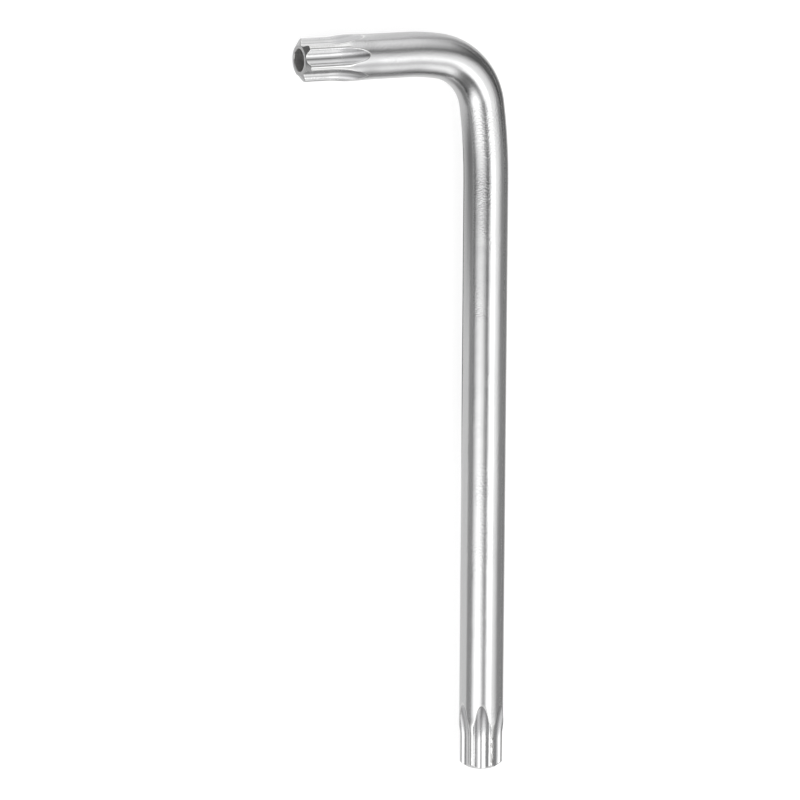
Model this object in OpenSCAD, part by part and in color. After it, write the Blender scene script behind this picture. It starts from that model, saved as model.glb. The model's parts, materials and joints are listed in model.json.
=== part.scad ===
// L-shaped star key with a pin hole in each six-lobed tip.
// It is one bent steel bar, lying flat: the long arm runs along Y and the short arm
// along X. The floor under it is Z = 0, and the origin is below the middle of its box.

/* [Bar] */
// Diameter of the round bar
bar_d = 9.2; // [8.9:0.1:10]

/* [Arms] */
// Overall length from the long tip to the outside of the bend
long_reach = 155; // [110:1:250]
// Overall length from the short tip to the outside of the bend
short_reach = 47; // [44:1:90]

/* [Bend] */
// Centre-line radius of the tight middle of the bend
bend_r = 12.2; // [10:0.1:16]
// Centre-line radius where the bend eases into the long arm
lead_r = 115; // [40:1:160]
// Angle that the bend turns while it eases into the long arm
lead_angle = 8; // [2:0.5:12]
// Centre-line radius where the bend eases into the short arm
tail_r = 41; // [20:1:60]
// Angle that the bend turns while it eases into the short arm
tail_angle = 10; // [2:0.5:14]

/* [Star] */
// Diameter across the lobes of the star
star_d = 8.83; // [8.5:0.01:8.85]
// Diameter across the bottoms of the flutes
root_d = 6.36; // [6.2:0.01:6.6]
// Radius of each lobe
lobe_r = 0.78; // [0.65:0.01:0.9]
// Depth turned off the round crest of each lobe
crest_trim = 0.03; // [0.02:0.01:0.06]
// Radius of the arc on which each flute climbs out of the bar
runout_r = 24; // [10:0.5:35]

/* [Short tip] */
// Straight length of the flutes
short_flute = 5.4; // [4:0.1:11]
// Distance of the forged swell's top from the end face
short_crest = 11.3; // [8:0.1:14]
// Height of the swell over the bar
short_swell = 0.13; // [0.05:0.01:0.3]
// Length over which the swell rises from the lobes
short_rise = 5.3; // [2:0.1:6]
// Turn of a lobe downwards from the outside of the bend
short_turn = 12; // [-30:1:30]

/* [Long tip] */
// Straight length of the flutes
long_flute = 5.7; // [4:0.1:11]
// Distance of the forged swell's top from the end face
long_crest = 9.3; // [8:0.1:14]
// Height of the swell over the bar
long_swell = 0.06; // [0.05:0.01:0.3]
// Length over which the swell rises from the lobes
long_rise = 3; // [2:0.1:6]
// Turn of a lobe upwards from the outside of the bend
long_turn = 25; // [-30:1:30]

/* [End faces] */
// Outer diameter of the flat ring at each end
face_d = 6.1; // [5.6:0.1:6.2]
// Length of the cone between that ring and the lobes
face_cone = 0.85; // [0.4:0.05:1.5]
// Diameter of the pin hole in each end
pin_hole_d = 4.7; // [3.8:0.1:5]
// Depth of the pin hole's straight wall
pin_hole_depth = 8; // [4:0.5:14]
// Angle of the drill's point at the bottom of the pin hole
drill_angle = 118; // [90:1:140]

/* [Hidden] */
$fn = 96;
bar_r = bar_d / 2;
star_r = star_d / 2;
root_r = root_d / 2;
pin_hole_r = pin_hole_d / 2;
flutes = 6;
pitch = 360 / flutes;
// How far a cut reaches past the metal that it removes.
over = 1;

// Centre of a lobe beside a flute that lies on +X.
lobe_ring = star_r + crest_trim - lobe_r;
lobe_x = lobe_ring * cos(pitch / 2);
lobe_y = lobe_ring * sin(pitch / 2);
// Radius of the flute that touches the root circle and both its lobes. The flute is cut
// a little wider than that, so that it runs into the lobes.
touch_r = (pow(lobe_ring, 2) + pow(root_r, 2) - 2 * lobe_x * root_r - pow(lobe_r, 2))
        / (2 * (lobe_r + lobe_x - root_r));
touch_x = lobe_x + (root_r + touch_r - lobe_x) * lobe_r / (lobe_r + touch_r);
flute_widen = 0.04;
flute_r = touch_r + flute_widen;
// Half of the narrowest land between two flutes, which is less than the trimmed crest's width.
land_y = 0.1;

// Centres of the bend's three arcs, seen from the end of the straight long arm.
tail_start = 90 - tail_angle;
lead_centre = [-lead_r, 0, 0];
bend_centre = lead_centre + polar(lead_r - bend_r, lead_angle);
tail_centre = bend_centre - polar(tail_r - bend_r, tail_start);

// Straight lengths of the arms, which are what the bend leaves of the reaches.
long_straight = long_reach - bar_r - tail_centre[1] - tail_r;
short_straight = short_reach - bar_r + tail_centre[0];

// Where the long arm meets the bend, seen from the origin. The swells rest on the floor.
meet_x = short_reach / 2 - bar_r;
meet_y = long_straight - long_reach / 2;
meet_z = bar_r + max(short_swell, long_swell);

function polar(r, angle) = [r * cos(angle), r * sin(angle), 0];

// Half section of an arm along +Y: bar, swell, lobes and the cone to its end face.
module arm_profile(length, crest, swell, rise) {
    swell_r = bar_r + swell;
    step = swell_r - star_r;
    arc_r = (pow(rise, 2) + pow(step, 2)) / (2 * step);
    top = length - crest;
    polygon([
        [0, 0], [bar_r, 0], [bar_r, top], [star_r, top],
        [star_r, length - face_cone], [face_d / 2, length], [0, length]
    ]);
    intersection() {
        translate([swell_r - arc_r, top]) circle(arc_r);
        translate([root_r, top - 2 * rise]) square([bar_r, 4 * rise]);
    }
}

// Section of the metal that one flute takes away, on the +X side of the star.
module flute_section() {
    mouth_x = 2 * bar_r;
    floor_y = touch_x * tan(pitch / 2) - land_y;
    mouth_y = mouth_x * tan(pitch / 2) - land_y;
    difference() {
        union() {
            polygon([[touch_x, -floor_y], [mouth_x, -mouth_y], [mouth_x, mouth_y], [touch_x, floor_y]]);
            translate([root_r + flute_r, 0]) circle(flute_r);
        }
        for (side = [-1, 1]) translate([lobe_x, side * lobe_y]) circle(lobe_r);
    }
}

// One flute from an end face at Z = 0: a straight run, and an arc that climbs out of the bar.
module flute(straight) {
    climb = acos(1 - (bar_r + over - root_r) / runout_r);
    centre_x = root_r + runout_r;
    translate([0, 0, -over]) linear_extrude(straight + over) flute_section();
    translate([centre_x, 0, straight]) rotate([90, 0, 180]) rotate_extrude(start = 0, angle = climb)
        translate([centre_x, 0]) mirror([1, 0]) flute_section();
}

// Drilled hole from an end face at Z = 0, with the cone that the drill's point leaves.
module pin_hole() {
    point = pin_hole_r / tan(drill_angle / 2);
    rotate_extrude() polygon([
        [0, -over], [pin_hole_r, -over], [pin_hole_r, pin_hole_depth], [0, pin_hole_depth + point]
    ]);
}

// Straight arm along +Z, with its end face at the given length and a lobe turned from +X.
module arm(length, flute, crest, swell, rise, turn) {
    difference() {
        rotate_extrude() arm_profile(length, crest, swell, rise);
        translate([0, 0, length]) mirror([0, 0, 1]) {
            for (i = [0 : flutes - 1]) rotate(turn + (i + 0.5) * pitch) flute(flute);
            pin_hole();
        }
    }
}

// Moves the children by a round amount and then by the small rest of the distance, which
// keeps enough digits for the ends of joined pieces to meet exactly.
module place(point) {
    whole = [for (value = point) round(value)];
    translate(whole) translate(point - whole) children();
}

// Bar bent about an upright axis at the given centre, from one angle to another.
module bent_bar(centre, r, from, to) {
    place(centre) rotate_extrude(start = from, angle = to - from) translate([r, 0]) circle(bar_r);
}

// The whole key, one bar with both ends forged to stars and bent at the corner.
module key_body() {
    color("silver") translate([meet_x, meet_y, meet_z]) {
        rotate([90, 0, 0])
            arm(long_straight, long_flute, long_crest, long_swell, long_rise, long_turn);
        bent_bar(lead_centre, lead_r, 0, lead_angle);
        bent_bar(bend_centre, bend_r, lead_angle, tail_start);
        bent_bar(tail_centre, tail_r, tail_start, 90);
        place(tail_centre + [0, tail_r, 0]) rotate(90) rotate([-90, 0, 0])
            arm(short_straight, short_flute, short_crest, short_swell, short_rise, short_turn);
    }
}

key_body();
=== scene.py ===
"""A star key: one bright plated bar, bent to an L, with a six-lobed tip and a pin hole at each end.

It lies flat. The long arm runs along Y, the short arm along X, and the floor is Z = 0.
"""
import json
import math

import bpy
import numpy as np
from mathutils import Matrix, Vector


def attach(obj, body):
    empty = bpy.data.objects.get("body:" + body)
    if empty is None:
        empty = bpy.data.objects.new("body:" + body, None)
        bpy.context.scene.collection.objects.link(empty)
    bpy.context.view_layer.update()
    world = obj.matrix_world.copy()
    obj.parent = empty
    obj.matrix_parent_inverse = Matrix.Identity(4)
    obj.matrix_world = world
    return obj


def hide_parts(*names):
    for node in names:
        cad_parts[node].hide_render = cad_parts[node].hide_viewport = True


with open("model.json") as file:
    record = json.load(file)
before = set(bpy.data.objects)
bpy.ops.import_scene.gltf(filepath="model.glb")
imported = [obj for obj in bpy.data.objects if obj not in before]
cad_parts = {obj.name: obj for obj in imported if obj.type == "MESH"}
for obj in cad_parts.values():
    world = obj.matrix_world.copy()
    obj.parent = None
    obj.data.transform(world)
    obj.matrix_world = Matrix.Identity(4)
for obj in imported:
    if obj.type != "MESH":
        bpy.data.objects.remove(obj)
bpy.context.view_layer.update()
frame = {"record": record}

MM = 0.001
MOUNTS = {mount["name"]: mount for mount in frame["record"]["mounts"]}

# Bar and bend, in millimetres
BAR_R = MOUNTS["long_shank"]["dims"]["r_mm"]
LONG_END = np.array(MOUNTS["long_pin_hole"]["pos_m"]) / MM
SHORT_END = np.array(MOUNTS["short_pin_hole"]["pos_m"]) / MM
LEAD_R, LEAD_ANGLE = 115.0, math.radians(8)
BEND_R = 12.2
TAIL_R, TAIL_ANGLE = 41.0, math.radians(10)

# Star, in millimetres
FLUTES = 6
PITCH = 2 * math.pi / FLUTES
STAR_R, ROOT_R = 4.415, 3.18
LOBE_R, LOBE_RING = 0.78, 3.665
# Radius of the arc on which a flute climbs out of the bar, and the most of it that is followed
RUNOUT_R = 24.0
RUNOUT_LIMIT = 0.9 * RUNOUT_R
# A radius outside the bar, for directions in which there is no arc
OUTSIDE = 99.0

# End faces and pin holes, in millimetres
FACE_R, FACE_CONE = 3.05, 0.85
CONE_SLOPE = (STAR_R - FACE_R) / FACE_CONE
HOLE_R = MOUNTS["long_pin_hole"]["dims"]["r_mm"]
HOLE_DEPTH = MOUNTS["long_pin_hole"]["dims"]["length_mm"]
DRILL_HALF_ANGLE = math.radians(59)
DRILL_POINT = HOLE_R / math.tan(DRILL_HALF_ANGLE)

# Small radii, in millimetres: the hole's rim, the flat face, the star's outline and the flutes' edges
HOLE_EDGE, FACE_EDGE, LIP_EDGE, CREST_EDGE = 0.12, 0.05, 0.09, 0.08
# Most of the cone's length that the radius of the star's outline may take
LIP_LIMIT = 0.3

# Each tip: straight length of its flutes, where the crests start and end their rise, where the
# swell over the bar ends, the swell's height, and the turn of a lobe from the outside of the bend
LONG_TIP = {"flute": 5.7, "rise": (6.6, 9.2), "end": 12.0, "swell": 0.06, "turn": math.radians(25)}
SHORT_TIP = {"flute": 5.4, "rise": (5.5, 11.0), "end": 17.0, "swell": 0.13, "turn": math.radians(-12)}

# Columns of the mesh round the bar
COLUMNS = 252
THETA = np.linspace(0, 2 * math.pi, COLUMNS, endpoint=False)

# Rings of a pin hole: shares of the drill's point, and the wall's last distance and number of rings
POINT_SHARES = (0.25, 0.6, 0.95)
WALL_TOP, WALL_RINGS = 0.4, 8
# Shares of the cone at which it has rings, and of the way from the star's outline to the first level ring
CONE_SHARES = (0.15, 0.35, 0.55, 0.75, 0.9)
LIP_SHARES, FIRST_LEVEL = (0.12, 0.3, 0.6, 1.0), 1.6
# Millimetres between rings: start and step in the straight flutes, then step and spare length behind them
FLUTE_START, FLUTE_STEP = 2.0, 0.4
CLIMB_STEP, CLIMB_SPARE = 0.09, 0.8
SWELL_STEP, SWELL_SPARE = 0.3, 0.6
# Least gap between a tip and the bar's rings, and the bar's steps: millimetres if straight, else radians
TIP_GAP = 0.5
STRAIGHT_STEP, BEND_STEP = 3, math.radians(1.5)
LEAST_STEPS = 2

# Finishes of the rings, each from 0 to 1
FINISHES = ("drilled", "turned", "worn", "fluted", "climbing")
DRILLED, TURNED, HIGHLIT_WEAR = {"drilled": 1.0}, {"turned": 1.0}, {"worn": 1.0}
# Depth about an edge that is worn and carries a painted highlight, depth at which a flute counts as
# inside, and the length behind its straight run in which its finish turns dull, in millimetres
HIGHLIT_WEAR_DEPTH, FLUTE_DEPTH, CLIMB_FADE = 0.16, 0.12, 4.0
# How far the rippled skin of the bend reaches into the long arm and the short arm, its share of the
# full depth, and the stretches of the bar with ripples of the full depth, in millimetres
RIPPLE_LEAD, RIPPLE_TAIL, RIPPLE_SHARE = 48.0, 8.0, 0.3
STRETCH_MARKS, MARK_FADE = ((120.5, 123.0), (133.0, 140.0)), 2

# Patterns of the plate: grains to a millimetre across, up and along the bar, and the noise's detail
PATTERNS = {
    "lines": ((2.6, 2.6, 0.04), 3.0),
    "cloud": ((0.3, 0.3, 0.06), 2.0),
    "waves": ((0.2, 0.2, 0.2), 1.0),
    "ripple": ((2.1, 2.1, 3.0), 2.0),
    "patches": ((0.22, 0.22, 0.07), 1.0),
    "grain": ((5.0, 5.0, 2.5), 2.0),
    "nicks": ((2.0, 2.0, 0.8), 1.0),
}
MIDDLE_NOISE = 0.5
# Noise levels between which patches of specks and nicks fade in
PATCH_LEVELS, NICK_LEVELS = (0.48, 0.6), (0.55, 0.64)
# Where nicks fade in: distances from the long end, and from the bar's middle to the outside of the bend
NICKED_ALONG, NICKED_OUT = (11.0, 8.5), (-1.0, 0.0)
# Millimetres from one turned ring or drill line to the next, and how far clouds shift the drill lines
RING_PITCH, DRILL_PITCH, DRILL_SHIFT = 0.18, 0.4, 6.0

# Depths of the plate's relief, in millimetres
LINE_DEPTH, WAVE_DEPTH, NICK_DEPTH = 0.008, 0.035, 0.03
SKIN_DEPTH, BENT_DEPTH, PATCH_DEPTH = 0.003, 0.028, 0.022
RING_DEPTH, DRILL_DEPTH = 0.0012, 0.008

# Roughness of the plate, how far its patterns vary it, and what the finishes add to it
ROUGHNESS = 0.20
ROUGHNESS_VARIES = {"lines": 0.10, "cloud": 0.10, "grain": 0.06}
ROUGHNESS_ADDED = {"turned": 0.08, "drilled": 0.4, "fluted": -0.07, "climbing": 0.13, "worn": -0.03}

# Colours of the metal: the plate from cloud to cloud, and what the finishes turn it to; the worn edges are
# partly wear and partly a painted highlight
PLATE_COLOURS = ((0.475, 0.475, 0.48, 1), (0.53, 0.53, 0.53, 1))
FINISH_COLOURS = {
    "climbing": (0.44, 0.44, 0.445, 1),
    # Worn edges: lighter, partly wear and partly a painted highlight
    "worn": (0.60, 0.60, 0.595, 1),
    "nicks": (0.30, 0.295, 0.29, 1),
    "drilled": (0.58, 0.575, 0.57, 1),
}

# Floor: half its side in metres, its grey, and its glow to the camera and to the metal's reflections
FLOOR_HALF = 3.0
FLOOR_GREY = (0.3, 0.3, 0.3, 1)
FLOOR_GLOW, FLOOR_MIRRORED_GLOW = 0.85, 0.78
# Dim light of the room all round
ROOM_GREY = (0.07, 0.07, 0.07, 1)

# Distance of the soft panels, in metres
PANEL_DISTANCE = 1.2

# Usual fades of a grey card of painted reflection, as shares of its size, and its height over the floor in
# millimetres
CARD_FADES, CARD_HEIGHT = (0.02, 0.02, 0.02, 0.02), 0.2
# Place in metres of the card that stands up, and its turn, which faces it along X
UPRIGHT_PLACE = (-0.06, 0.085, 0.012)
UPRIGHT_TURN = Matrix(((0, 0, 1, 0), (1, 0, 0, 0), (0, 1, 0, 0), (0, 0, 0, 1)))

# Camera: how it leans from straight above, its roll, its distance and lens, and where it aims from the
# long end, in millimetres to the right and up in the picture
LEAN_LEFT, LEAN_UP, ROLL = (math.radians(a) for a in (26.5406, 10.9163, 0.3288))
CAMERA_DISTANCE = 1012.0
LENS, SENSOR = 217.345, 36.0
AIM_RIGHT, AIM_UP = -16.8986, 76.4511
CLIP_END = 20


def smooth_min(a, b, soft):
    """The lower of a and b, with the corner between them rounded off."""
    near = np.maximum(soft - np.abs(a - b), 0) / soft
    return np.minimum(a, b) - near * near * soft / 4


def ease(x, start, stop):
    """0 before start, 1 after stop and a smooth rise between them."""
    t = np.clip((x - start) / (stop - start), 0, 1)
    return t * t * t * (t * (6 * t - 15) + 10)


def flute_section(phi, lift):
    """Radius of a flute's surface at the angle phi from its middle, for a flute lifted outwards."""
    lobe_x, lobe_y = LOBE_RING * math.cos(PITCH / 2), LOBE_RING * math.sin(PITCH / 2)
    flute_r = (LOBE_RING ** 2 + ROOT_R ** 2 - 2 * lobe_x * ROOT_R - LOBE_R ** 2)
    flute_r /= 2 * (LOBE_R + lobe_x - ROOT_R)
    touch_y = lobe_y * flute_r / (LOBE_R + flute_r)
    sine, cosine = np.sin(phi), np.cos(phi)
    middle = ROOT_R + flute_r + lift
    under = flute_r ** 2 - (middle * sine) ** 2
    arc = np.where(under > 0, middle * cosine - np.sqrt(np.maximum(under, 0)), OUTSIDE)
    side = np.abs(sine)
    x = lobe_x + lift
    under = LOBE_R ** 2 - (x * side - lobe_y * cosine) ** 2
    lobe = np.where(under > 0, x * cosine + lobe_y * side + np.sqrt(np.maximum(under, 0)), OUTSIDE)
    return np.where(arc * side <= touch_y, arc, lobe)


def flute_radius(z, tip):
    """Radius of the flutes' surface all round, at the distances z from the end."""
    phi = (THETA - tip["turn"]) % PITCH - PITCH / 2
    past = np.clip(z - tip["flute"], 0, RUNOUT_LIMIT)
    lift = RUNOUT_R - np.sqrt(RUNOUT_R ** 2 - past ** 2)
    return flute_section(phi, lift)


def crest_radius(z, tip):
    """Radius of the crests at the distances z from the end: star, swell and bar."""
    top = BAR_R + tip["swell"]
    up, down = ease(z, *tip["rise"]), ease(z, tip["rise"][1], tip["end"])
    return STAR_R + (top - STAR_R) * up - tip["swell"] * down


def skin_radius(z, tip):
    """Radius of the fluted skin all round, at the distances z from the end."""
    return smooth_min(flute_radius(z, tip), crest_radius(z, tip), CREST_EDGE)


def highlit_wear_edges(z, tip):
    """1 at the edges between the flutes and the crests, which are worn and get a painted highlight, and 0
    away from them.
    """
    return np.clip(1 - np.abs(flute_radius(z, tip) - crest_radius(z, tip)) / HIGHLIT_WEAR_DEPTH, 0, 1)


def runout_length():
    """Length in which a flute climbs from its root to the bar's surface."""
    return math.sqrt(RUNOUT_R ** 2 - (RUNOUT_R - BAR_R + ROOT_R) ** 2)


def ring(z, r, **finish):
    """A ring of the mesh: distances from the end all round, radii, and the amount of each finish."""
    row = [z, r] + [finish.get(name, 0.0) for name in FINISHES]
    return [np.broadcast_to(value, COLUMNS) for value in row]


def bead(corner, before, after, finishes):
    """Three rings that round a corner of the section."""
    rings = []
    for t, finish in zip((0.0, 0.5, 1.0), finishes):
        weights = (1 - t) ** 2, 2 * t * (1 - t), t * t
        weighted = list(zip(weights, (before, corner, after)))
        z, r = (sum(weight * point[i] for weight, point in weighted) for i in (0, 1))
        rings.append(ring(z, r, **finish))
    return rings


def hole_rings():
    """Rings from the bottom of a pin hole to its rim."""
    rings = []
    for share in POINT_SHARES:
        rings.append(ring(HOLE_DEPTH + DRILL_POINT * (1 - share), HOLE_R * share, **DRILLED))
    for z in np.linspace(HOLE_DEPTH, WALL_TOP, WALL_RINGS):
        rings.append(ring(z, HOLE_R, **DRILLED))
    before, after = (HOLE_EDGE, HOLE_R), (0.0, HOLE_R + HOLE_EDGE)
    # The middle of the rounded rim is worn and painted lighter, a painted highlight
    return rings + bead((0.0, HOLE_R), before, after, (DRILLED, HIGHLIT_WEAR, TURNED))


def face_rings(tip):
    """Rings from the flat end face to the star's outline, and the distances at which they end."""
    cone = np.array([FACE_CONE, STAR_R - FACE_R])
    along = cone / np.hypot(*cone)
    cone_start = along[0] * FACE_EDGE
    before, after = (0.0, FACE_R - FACE_EDGE), (cone_start, FACE_R + along[1] * FACE_EDGE)
    # The middle of the face's rounded edge is worn and painted lighter, a painted highlight
    rings = bead((0.0, FACE_R), before, after, (TURNED, HIGHLIT_WEAR, TURNED))
    star = skin_radius(np.zeros(COLUMNS), tip)
    lip = (star - FACE_R) / CONE_SLOPE
    reach = np.minimum(LIP_EDGE, LIP_LIMIT * lip)
    for share in CONE_SHARES:
        z = np.maximum(cone_start + share * (lip - along[0] * (FACE_EDGE + reach)), cone_start)
        rings.append(ring(z, FACE_R + z * CONE_SLOPE, **TURNED))
    cone_stop = lip - along[0] * reach
    before, after = (cone_stop, FACE_R + cone_stop * CONE_SLOPE), (lip + reach, star)
    # The star's rounded outline is worn and painted lighter, a painted highlight
    rings += bead((lip, star), before, after, (TURNED, HIGHLIT_WEAR, HIGHLIT_WEAR))
    return rings, lip + reach


def skin_ring(z, tip):
    """A ring of the fluted skin, with its edges worn and painted with a highlight, and the insides of its
    flutes.
    """
    radius = skin_radius(z, tip)
    inside = np.clip((crest_radius(z, tip) - radius) / FLUTE_DEPTH, 0, 1)
    climbing = ease(z, tip["flute"], tip["flute"] + CLIMB_FADE)
    return ring(
        z, radius, worn=highlit_wear_edges(z, tip), fluted=inside * (1 - climbing), climbing=inside * climbing,
    )


def tip_rings(tip):
    """Rings from the bottom of the pin hole to the plain bar behind the star."""
    face, start = face_rings(tip)
    rings = hole_rings() + face
    rings += [skin_ring(start * (1 - share) + FIRST_LEVEL * share, tip) for share in LIP_SHARES]
    end = tip["flute"] + runout_length() + CLIMB_SPARE
    straight = np.arange(FLUTE_START, tip["flute"], FLUTE_STEP)
    climb = np.arange(tip["flute"], end, CLIMB_STEP)
    swell = np.arange(end, tip["end"] + SWELL_SPARE, SWELL_STEP)
    rings += [skin_ring(z, tip) for z in np.concatenate([straight, climb])]
    return rings + [ring(z, skin_radius(z, tip)) for z in swell]


def arc_step(radius, start, stop):
    """Way from one angle to another on an arc about an upright axis."""
    return radius * np.array([math.cos(stop) - math.cos(start), math.sin(stop) - math.sin(start)])


def bar_path():
    """The pieces of the centre line, each (length, start point, start angle, radius or 0 if straight)."""
    tail_start, tail_stop = math.pi / 2 - TAIL_ANGLE, math.pi / 2
    lead = arc_step(LEAD_R, 0.0, LEAD_ANGLE)
    bend = arc_step(BEND_R, LEAD_ANGLE, tail_start)
    corner = lead + bend + arc_step(TAIL_R, tail_start, tail_stop)
    long_arm = SHORT_END[1] - LONG_END[1] - corner[1]
    short_arm = LONG_END[0] + corner[0] - SHORT_END[0]
    pieces, point, angle = [], LONG_END[:2].copy(), 0.0
    for length, radius, stop in (
        (long_arm, 0, 0.0),
        (LEAD_R * LEAD_ANGLE, LEAD_R, LEAD_ANGLE),
        (BEND_R * (tail_start - LEAD_ANGLE), BEND_R, tail_start),
        (TAIL_R * TAIL_ANGLE, TAIL_R, tail_stop),
        (short_arm, 0, tail_stop),
    ):
        pieces.append((length, point.copy(), angle, radius))
        if radius:
            step = arc_step(radius, angle, stop)
        else:
            step = length * np.array([-math.sin(angle), math.cos(angle)])
        point, angle = point + step, stop
    return pieces


def path_length(path):
    """Length of the whole centre line."""
    return sum(piece[0] for piece in path)


def on_path(path, s):
    """Centre points and angles of the centre line at the distances s from the long end."""
    points, angles = np.zeros((len(s), 2)), np.zeros(len(s))
    start = 0.0
    for i, (length, point, angle, radius) in enumerate(path):
        low = -math.inf if i == 0 else start
        high = math.inf if i == len(path) - 1 else start + length
        here = (s >= low) & (s < high)
        run = s[here] - start
        if radius:
            turned = angle + run / radius
            points[here, 0] = point[0] + radius * (np.cos(turned) - math.cos(angle))
            points[here, 1] = point[1] + radius * (np.sin(turned) - math.sin(angle))
            angles[here] = turned
        else:
            points[here, 0] = point[0] - run * math.sin(angle)
            points[here, 1] = point[1] + run * math.cos(angle)
            angles[here] = angle
        start += length
    return points, angles


def bar_marks(path, start, stop):
    """Distances along the bar of the rings between the two tips."""
    marks, at = [], 0.0
    for length, _, _, radius in path:
        step = radius * BEND_STEP if radius else STRAIGHT_STEP
        count = max(LEAST_STEPS, round(length / step))
        marks.extend(at + length * np.arange(count) / count)
        at += length
    return [s for s in marks if start < s < stop]


def key_rings(path):
    """All rings from the long tip to the short one, at their distances from the long end."""
    total = path_length(path)
    long_rings, short_rings = tip_rings(LONG_TIP), tip_rings(SHORT_TIP)
    first = long_rings[-1][0][0] + TIP_GAP
    last = total - short_rings[-1][0][0] - TIP_GAP
    bar = [ring(s, BAR_R) for s in bar_marks(path, first, last)]
    return long_rings + bar + [[total - row[0], *row[1:]] for row in reversed(short_rings)]


def key_faces(count):
    """Faces between that many rings, and round the point at the bottom of each pin hole."""
    faces = []
    for i in range(count - 1):
        a, b = i * COLUMNS, (i + 1) * COLUMNS
        for j in range(COLUMNS):
            k = (j + 1) % COLUMNS
            faces.append((a + j, b + j, b + k, a + k))
    long_point, short_point = count * COLUMNS, count * COLUMNS + 1
    last = (count - 1) * COLUMNS
    for j in range(COLUMNS):
        k = (j + 1) % COLUMNS
        faces.append((long_point, j, k))
        faces.append((short_point, last + k, last + j))
    return faces


def rippled(path, s):
    """How far the bend has rippled the skin at the distances s from the long end."""
    long_arm, lead, _, tail, short_arm = (piece[0] for piece in path)
    start, stop = long_arm + lead, path_length(path) - tail - short_arm
    bent = ease(s, start - RIPPLE_LEAD, start) * (1 - ease(s, stop, stop + RIPPLE_TAIL))
    bent = RIPPLE_SHARE * bent
    for first, last in STRETCH_MARKS:
        mark = ease(s, first - MARK_FADE, first) * (1 - ease(s, last, last + MARK_FADE))
        bent = np.maximum(bent, mark)
    return bent


def add_attribute(mesh, name, kind, field, values):
    """Values for the mesh's points, which the material reads by name."""
    attribute = mesh.attributes.new(name, kind, "POINT")
    attribute.data.foreach_set(field, values.astype(np.float32).ravel())


def key_mesh():
    """The whole key as one closed mesh, swept along the centre line."""
    path = bar_path()
    rings = key_rings(path)
    bottom = HOLE_DEPTH + DRILL_POINT
    hole_points = [[bottom, path_length(path) - bottom], [0, 0]]
    hole_points += [[DRILLED.get(name, 0)] * 2 for name in FINISHES]
    s, r, *finishes = (np.append(np.concatenate(rows), ends) for rows, ends in zip(zip(*rings), hole_points))
    theta = np.append(np.tile(THETA, len(rings)), [0, 0])
    points, angles = on_path(path, s)
    out, lift = r * np.cos(theta), r * np.sin(theta)
    x = points[:, 0] + out * np.cos(angles)
    y = points[:, 1] + out * np.sin(angles)
    xyz = np.stack([x, y, LONG_END[2] + lift], 1)
    faces = key_faces(len(rings))
    mesh = bpy.data.meshes.new("star_key")
    mesh.from_pydata((xyz * MM).tolist(), [], faces)
    mesh.polygons.foreach_set("use_smooth", np.ones(len(faces), bool))
    add_attribute(mesh, "bar_point", "FLOAT_VECTOR", "vector", np.stack([out, lift, s], 1))
    for name, values in zip(FINISHES, finishes):
        add_attribute(mesh, name, "FLOAT", "value", values)
    add_attribute(mesh, "bent", "FLOAT", "value", rippled(path, s))
    mesh.update()
    return mesh


class Nodes:
    """A material and short calls that add its nodes."""

    def __init__(self, name):
        self.material = bpy.data.materials.new(name)
        self.material.use_nodes = True
        self.tree = self.material.node_tree
        self.tree.nodes.clear()

    def add(self, kind, inputs=(), **settings):
        """A new node. Each input is set to a value, or linked to another node's output."""
        node = self.tree.nodes.new("ShaderNode" + kind)
        for name, value in settings.items():
            setattr(node, name, value)
        for name, value in dict(inputs).items():
            if isinstance(value, bpy.types.NodeSocket):
                self.tree.links.new(value, node.inputs[name])
            else:
                node.inputs[name].default_value = value
        return node

    def math(self, operation, *values):
        """A sum, product or other operation on numbers."""
        return self.add("Math", enumerate(values), operation=operation).outputs[0]

    def product(self, first, *others):
        """All the values multiplied."""
        for value in others:
            first = self.math("MULTIPLY", first, value)
        return first

    def fade(self, value, start, stop):
        """From 0 at start to 1 at stop, smoothly, and level outside them."""
        limits = {"Value": value, "From Min": start, "From Max": stop, "To Min": 0.0, "To Max": 1.0}
        return self.add("MapRange", limits, interpolation_type="SMOOTHSTEP").outputs[0]

    def mix(self, share, first, second):
        """A colour between two."""
        return self.add("Mix", {0: share, 6: first, 7: second}, data_type="RGBA").outputs[2]

    def noise(self, point, density, detail):
        """Noise from 0 to 1 with so many grains to a millimetre along each axis."""
        place = self.add("VectorMath", {0: point, 1: density}, operation="MULTIPLY").outputs[0]
        return self.add("TexNoise", {"Vector": place, "Scale": 1.0, "Detail": detail}).outputs["Fac"]

    def surface(self, shader):
        """The material, finished with this shader."""
        self.add("OutputMaterial", {"Surface": shader})
        return self.material


def plate_looks(paint):
    """The plate's finishes and patterns by name, with the turned rings and drill lines where they show."""
    point = paint.add("Attribute", attribute_name="bar_point").outputs["Vector"]
    out, lift, along = paint.add("SeparateXYZ", {0: point}).outputs
    looks = {}
    for name in (*FINISHES, "bent"):
        looks[name] = paint.add("Attribute", attribute_name=name).outputs["Fac"]
    for name, (density, detail) in PATTERNS.items():
        looks[name] = paint.noise(point, density, detail)
    looks["patches"] = paint.fade(looks["patches"], *PATCH_LEVELS)
    near_end = paint.math("MULTIPLY", looks["worn"], paint.fade(along, *NICKED_ALONG))
    nicks = paint.fade(looks["nicks"], *NICK_LEVELS)
    looks["nicks"] = paint.product(nicks, near_end, paint.fade(out, *NICKED_OUT))
    square = paint.math("ADD", paint.math("MULTIPLY", out, out), paint.math("MULTIPLY", lift, lift))
    rings = paint.math("MULTIPLY", paint.math("SQRT", square), 2 * math.pi / RING_PITCH)
    looks["rings"] = paint.math("MULTIPLY", paint.math("SINE", rings), looks["turned"])
    shift = paint.math("MULTIPLY", looks["cloud"], DRILL_SHIFT)
    drill_lines = paint.math("MULTIPLY_ADD", along, 2 * math.pi / DRILL_PITCH, shift)
    looks["drill_lines"] = paint.math("MULTIPLY", paint.math("SINE", drill_lines), looks["drilled"])
    return looks


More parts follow.
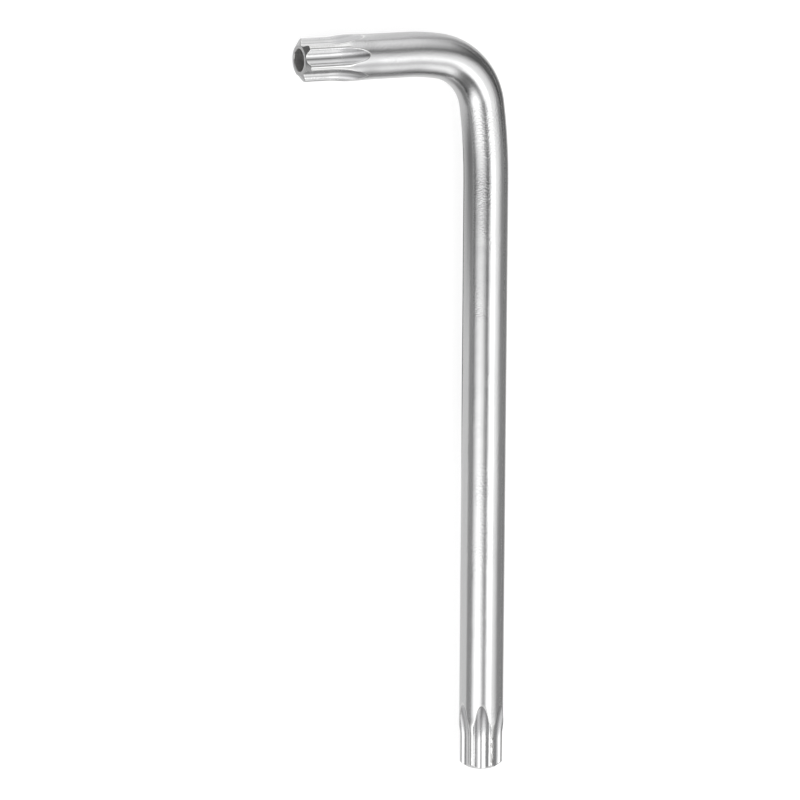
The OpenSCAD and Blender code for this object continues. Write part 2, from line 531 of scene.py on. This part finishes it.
def plate_normal(paint, looks):
    """The plate's fine relief."""
    ripple_depth = paint.math("MULTIPLY_ADD", looks["bent"], BENT_DEPTH, SKIN_DEPTH)
    ripple_depth = paint.math("MULTIPLY_ADD", looks["patches"], PATCH_DEPTH, ripple_depth)
    height = paint.math("MULTIPLY", looks["lines"], LINE_DEPTH)
    for name, depth in (
        ("waves", WAVE_DEPTH), ("ripple", ripple_depth), ("rings", RING_DEPTH),
        ("drill_lines", DRILL_DEPTH), ("nicks", -NICK_DEPTH),
    ):
        height = paint.math("MULTIPLY_ADD", looks[name], depth, height)
    return paint.add("Bump", {"Height": height, "Distance": MM}).outputs[0]


def plate_roughness(paint, looks):
    """The plate's roughness: dull where it is drilled or climbs, and glossy in the flutes."""
    roughness = ROUGHNESS
    for name, amount in ROUGHNESS_VARIES.items():
        change = paint.math("SUBTRACT", looks[name], MIDDLE_NOISE)
        roughness = paint.math("MULTIPLY_ADD", change, amount, roughness)
    for name, amount in ROUGHNESS_ADDED.items():
        roughness = paint.math("MULTIPLY_ADD", looks[name], amount, roughness)
    return roughness


def plate_tone(paint, looks):
    """The metal's colour, with a painted highlight on the worn edges."""
    tone = paint.mix(looks["cloud"], *PLATE_COLOURS)
    for name, colour in FINISH_COLOURS.items():
        tone = paint.mix(looks[name], tone, colour)
    return tone


def plated_steel():
    """Satin chrome plate: fine lines along the bar, clouds, waves and patches of specks, ripples where
    the bend stretched the skin, dull run-outs and drilled holes, turned end faces, worn edges painted
    lighter as a highlight, and a few nicks in those of the long tip.
    """
    paint = Nodes("plated_steel")
    looks = plate_looks(paint)
    shader = paint.add("BsdfPrincipled", {
        "Base Color": plate_tone(paint, looks),
        "Metallic": 1.0,
        "Roughness": plate_roughness(paint, looks),
        "Normal": plate_normal(paint, looks),
    })
    return paint.surface(shader.outputs[0])


def stage_sheet(name, half_width, half_height, material):
    """A flat sheet of the stage, about its own middle."""
    mesh = bpy.data.meshes.new(name)
    w, h = half_width, half_height
    mesh.from_pydata([(-w, -h, 0), (w, -h, 0), (w, h, 0), (-w, h, 0)], [], [(0, 1, 2, 3)])
    mesh.materials.append(material)
    obj = bpy.data.objects.new(name, mesh)
    bpy.context.scene.collection.objects.link(obj)
    return obj


def floor():
    """A white floor, which glows so far that it stays white and keeps a soft shadow."""
    paint = Nodes("floor_white")
    rays = paint.add("LightPath").outputs
    seen = paint.math("MULTIPLY", rays["Is Camera Ray"], FLOOR_GLOW)
    mirrored = paint.math("MAXIMUM", rays["Is Glossy Ray"], rays["Is Transmission Ray"])
    mirrored = paint.math("MULTIPLY", mirrored, FLOOR_MIRRORED_GLOW)
    glow = paint.add("Emission", {"Strength": paint.math("MAXIMUM", seen, mirrored)})
    diffuse = paint.add("BsdfDiffuse", {"Color": FLOOR_GREY})
    both = paint.add("AddShader", {0: diffuse.outputs[0], 1: glow.outputs[0]})
    stage_sheet("floor", FLOOR_HALF, FLOOR_HALF, paint.surface(both.outputs[0]))


def direction(lean_x, lean_y):
    """Direction that leans from straight up by so many degrees towards +X and +Y."""
    lean = math.radians(math.hypot(lean_x, lean_y))
    turn = math.atan2(lean_y, lean_x)
    return Vector((math.sin(lean) * math.cos(turn), math.sin(lean) * math.sin(turn), math.cos(lean)))


def soft_card(name, half, level, fades, covers):
    """A flat card that fades in from its left, right, bottom and top edges, over those shares of its size.

    It covers what is behind it, or adds its light to it.
    """
    paint = Nodes(name)
    across, up, _ = paint.add("SeparateXYZ", {0: paint.add("TexCoord").outputs["Generated"]}).outputs
    left, right, bottom, top = fades
    share = paint.product(
        paint.fade(across, 0.0, left), paint.fade(across, 1.0, 1.0 - right),
        paint.fade(up, 0.0, bottom), paint.fade(up, 1.0, 1.0 - top),
    )
    clear = paint.add("BsdfTransparent").outputs[0]
    if covers:
        glow = paint.add("Emission", {"Strength": level}).outputs[0]
        both = paint.add("MixShader", {0: share, 1: clear, 2: glow})
    else:
        glow = paint.add("Emission", {"Strength": paint.math("MULTIPLY", share, level)}).outputs[0]
        both = paint.add("AddShader", {0: clear, 1: glow})
    obj = stage_sheet(name, *half, paint.surface(both.outputs[0]))
    obj.visible_camera = False
    return obj


def panel(name, lean, size, level, feather, roll=0):
    """A soft light that faces the key: where it leans from straight up, its width and height seen from
    the key, and its roll, all in degrees.
    """
    half = [PANEL_DISTANCE * math.tan(math.radians(angle / 2)) for angle in size]
    obj = soft_card(name, half, level, [feather / 2] * 4, covers=False)
    away = direction(*lean)
    tall = (Vector((0, 1, 0)) - away.y * away).normalized()
    axes = Matrix((tall.cross(away), tall, away)).transposed()
    axes = (axes @ Matrix.Rotation(math.radians(roll), 3, "Z")).to_4x4()
    axes.translation = away * PANEL_DISTANCE
    obj.matrix_world = axes


def painted_reflection_card(name, low, high, level, fades=CARD_FADES, height=CARD_HEIGHT, pivot=(0, 0), turn=0):
    """A grey card flat over the floor, which only the metal's reflections show: painted shade or painted
    light on the floor.

    Its corners are in millimetres from the pivot, about which it is turned by so many degrees.
    """
    half = [(b - a) / 2 * MM for a, b in zip(low, high)]
    middle = [(a + b) / 2 * MM for a, b in zip(low, high)]
    obj = soft_card(name, half, level, fades, covers=True)
    place = Matrix.Translation(Vector((*pivot, height)) * MM)
    obj.matrix_world = place @ Matrix.Rotation(math.radians(turn), 4, "Z") @ Matrix.Translation((*middle, 0))
    obj.visible_shadow = obj.visible_diffuse = False
    return obj


def soft_panels():
    """The lights, in the places where the metal of the photograph mirrors them."""
    panel("panel_main", lean=(8, -16), size=(47, 48), level=1.52, feather=0.8, roll=-31)
    panel("panel_top", lean=(25, -1), size=(79, 70), level=1.1, feather=0.8, roll=-4)
    panel("panel_left", lean=(-48, -27), size=(82, 60), level=2.9, feather=1.0, roll=3)
    panel("panel_front", lean=(22, -59), size=(47, 76), level=1.45, feather=1.0, roll=-4)
    panel("panel_low", lean=(-12, -58), size=(70, 56), level=0.2, feather=0.7)
    panel("panel_far", lean=(70, 28), size=(44, 44), level=0.12, feather=1.0)
    panel("panel_back", lean=(7, 74), size=(98, 102), level=1.6, feather=1.0, roll=14)
    panel("panel_side", lean=(47.5, -32.5), size=(78, 84), level=0.36, feather=0.1, roll=37)


def painted_reflection_cards():
    """The cards, which give the metal the darker and lighter parts of its surroundings to mirror: painted
    shade and light, with the key's shadow painted on the floor under the bar, at the inner corner and by
    the bend.
    """
    # Painted darker floor inside the L and to the right of the long arm
    painted_reflection_card("card_inner", low=(-395, -345), high=(4.5, 55), level=0.48)
    painted_reflection_card("card_right", low=(25.5, -315), high=(415, 115), level=0.37, fades=(0.04, 0.02, 0.02, 0.1))
    # Painted shadow of the key on the floor in the inner corner, along the long arm's foot
    painted_reflection_card(
        "card_corner", low=(-30, 5), high=(18, 62.5), level=0.3, fades=(0.3, 0.28, 0.8, 0.23), height=0.3,
    )
    # Painted shadow of the key on the floor under the long arm
    painted_reflection_card(
        "card_under", low=(13.8, -20), high=(24, 58), level=0.12, fades=(0.1, 0.1, 0.3, 0.1), height=0.25,
    )
    # Painted shade on the floor by the outside of the bend
    painted_reflection_card(
        "card_bend", low=(11, -70), high=(300, 30), level=0.15, fades=(0.09, 0.1, 0.45, 0.38), height=0.3,
        pivot=(10, 68), turn=28,
    )
    painted_reflection_card(
        "card_back", low=(6, 79), high=(406, 379), level=0.66, fades=(0.06, 0.02, 0.03, 0.02), height=0.25,
    )
    # Painted bright patch on the floor beside the short arm
    painted_reflection_card(
        "card_bright", low=(-25, 79), high=(1, 112), level=1.5, fades=(0.1, 0.5, 0.1, 0.4), height=0.3,
    )
    painted_reflection_card("card_tip", low=(-150, 77), high=(-24.5, 200), level=0.15, height=0.4)
    # Painted shade on the floor at the foot of the short tip
    painted_reflection_card(
        "card_foot", low=(-60, 40), high=(-24, 77), level=0.7, fades=(0.3, 0.05, 0.3, 0.05), height=0.3,
    )
    upright = painted_reflection_card("card_left", low=(-25, -12), high=(25, 12), level=0.15)
    upright.matrix_world = Matrix.Translation(UPRIGHT_PLACE) @ UPRIGHT_TURN


def studio():
    """White floor, dim room, soft panels and grey cards of painted shade and light, which only the metal
    mirrors.
    """
    floor()
    world = bpy.data.worlds.new("room")
    world.use_nodes = True
    world.node_tree.nodes["Background"].inputs["Color"].default_value = ROOM_GREY
    bpy.context.scene.world = world
    soft_panels()
    painted_reflection_cards()


def camera():
    """The photograph's view."""
    flat = math.cos(LEAN_UP)
    back = Vector((-math.sin(LEAN_LEFT) * flat, math.sin(LEAN_UP), math.cos(LEAN_LEFT) * flat))
    right = Vector((math.cos(LEAN_LEFT), 0, math.sin(LEAN_LEFT)))
    up = back.cross(right)
    right, up = (
        math.cos(ROLL) * right + math.sin(ROLL) * up,
        math.cos(ROLL) * up - math.sin(ROLL) * right,
    )
    aim = Vector(LONG_END) + AIM_RIGHT * right + AIM_UP * up
    data = bpy.data.cameras.new("camera")
    data.lens, data.sensor_width, data.sensor_fit = LENS, SENSOR, "HORIZONTAL"
    data.clip_end = CLIP_END
    obj = bpy.data.objects.new("camera", data)
    bpy.context.scene.collection.objects.link(obj)
    axes = Matrix((right, up, back)).transposed().to_4x4()
    axes.translation = (aim + CAMERA_DISTANCE * back) * MM
    obj.matrix_world = axes
    bpy.context.scene.camera = obj


key = bpy.data.objects.new("star_key", key_mesh())
bpy.context.scene.collection.objects.link(key)
key.data.materials.append(plated_steel())
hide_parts("key_body")
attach(key, "root")
studio()
camera()
bpy.context.scene.view_settings.view_transform = "Standard"
